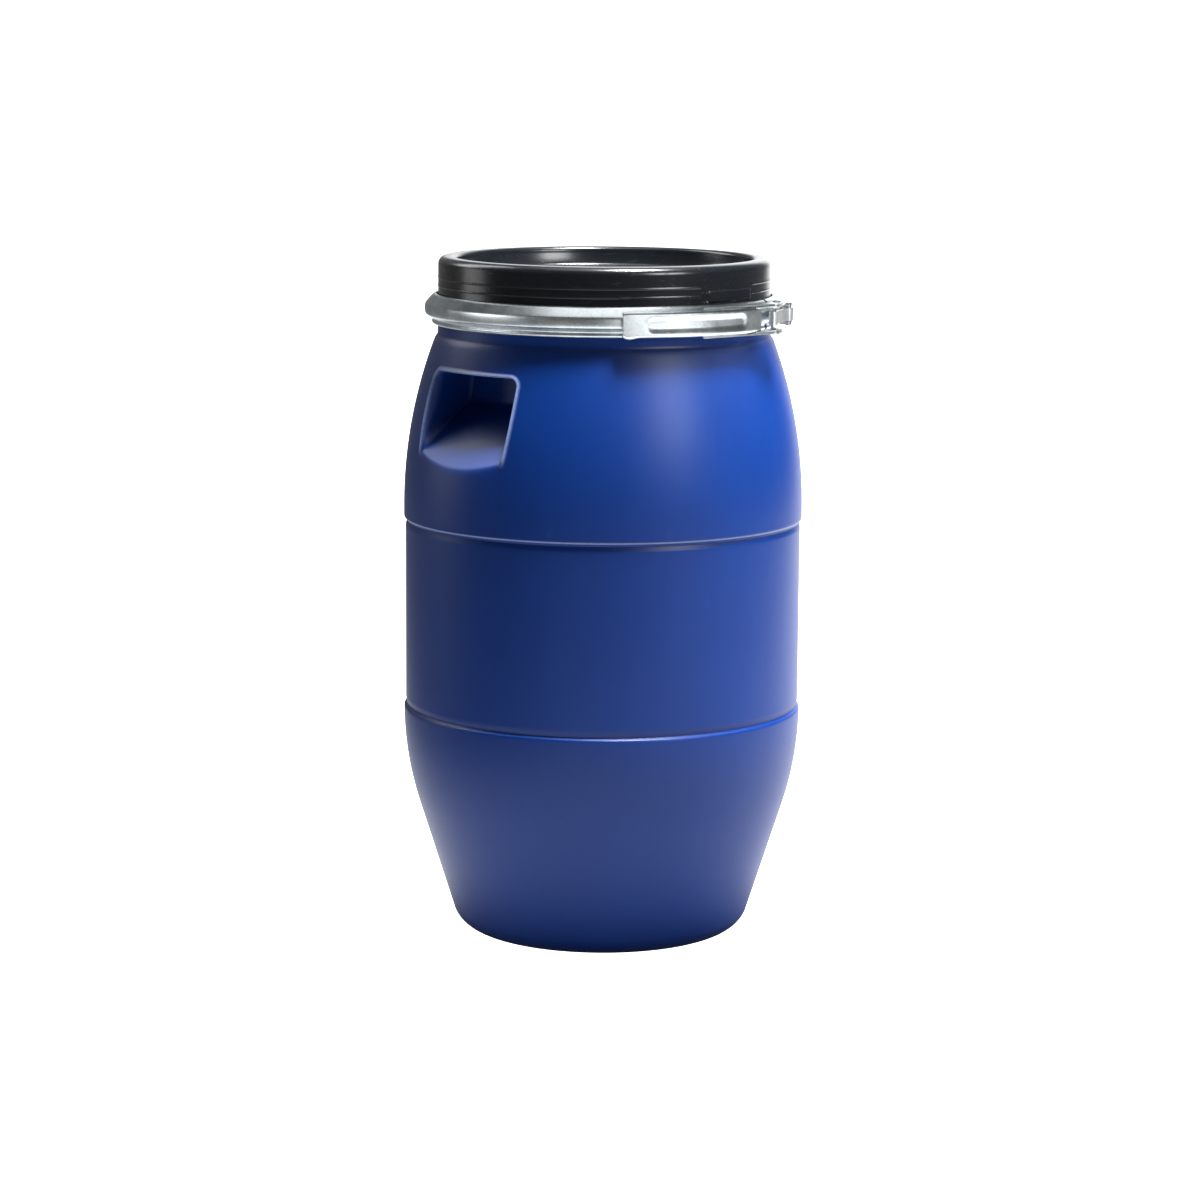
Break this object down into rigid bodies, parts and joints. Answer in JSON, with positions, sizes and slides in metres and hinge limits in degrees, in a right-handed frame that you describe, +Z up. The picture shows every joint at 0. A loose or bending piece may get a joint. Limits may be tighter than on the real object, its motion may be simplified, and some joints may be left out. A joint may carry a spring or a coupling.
{
  "type": "open head drum",
  "caption": "Barrel shaped plastic keg with a removable crowned lid, held by a steel clamp ring with an over-centre lever.",
  "frame": {"origin": "centre of the foot, on the floor the keg stands on", "axes": "+Z up along the keg's axis, -Y towards the front, where the lever's free end lies"},
  "size_m": [0.37, 0.37, 0.63],
  "materials": {
    "drum": "satin moulded polyethylene, ultramarine",
    "lid": "glossy moulded polyethylene, black",
    "seal": "matt",
    "clamp": "zinc plated sheet",
    "rivet": "zinc plated"
  },
  "bodies": {
    "drum": {"drum_body": "drum"},
    "lid": {"lid": "lid", "lid_seal": "seal"},
    "ring_left": {"clamp_band_left": "clamp", "fulcrum_bracket": "clamp", "fulcrum_rivet_upper": "rivet", "fulcrum_rivet_lower": "rivet"},
    "ring_right": {"clamp_band_right": "clamp", "catch_bracket": "clamp"},
    "lever": {"lever": "clamp", "link_rivet": "rivet"},
    "link": {"draw_link": "clamp", "catch_pin": "rivet"}
  },
  "joints": [
    {"name": "lid_lift", "type": "slide", "parent": "drum", "child": "lid", "axis": [0, 0, 1], "range_m": [0, 0.15], "deforming": ["clamp_band_left", "clamp_band_right"]},
    {"name": "ring_lift", "type": "slide", "parent": "lid", "child": "ring_left", "axis": [0, 0, 1], "range_m": [0, 0.08], "deforming": ["clamp_band_left", "clamp_band_right"]},
    {"name": "lever_turn", "type": "hinge", "parent": "ring_left", "child": "lever", "pos_m": [0.15563, -0.07323, 0.581], "axis": [0, 0, 1], "range_deg": [0, 180]},
    {"name": "ring_flex", "type": "hinge", "parent": "ring_left", "child": "ring_right", "pos_m": [-0.15266, 0.06418, 0.581], "axis": [0, 0, 1], "range_deg": [0, 4.1]},
    {"name": "link_turn", "type": "hinge", "parent": "lever", "child": "link", "pos_m": [0.15204, -0.08468, 0.581], "axis": [0, 0, 1], "range_deg": [-180, 0]}
  ],
  "couplings": [
    {"joint": "ring_flex", "follows": "lever_turn", "ratio": 0.022726},
    {"joint": "link_turn", "follows": "lever_turn", "ratio": -1}
  ]
}
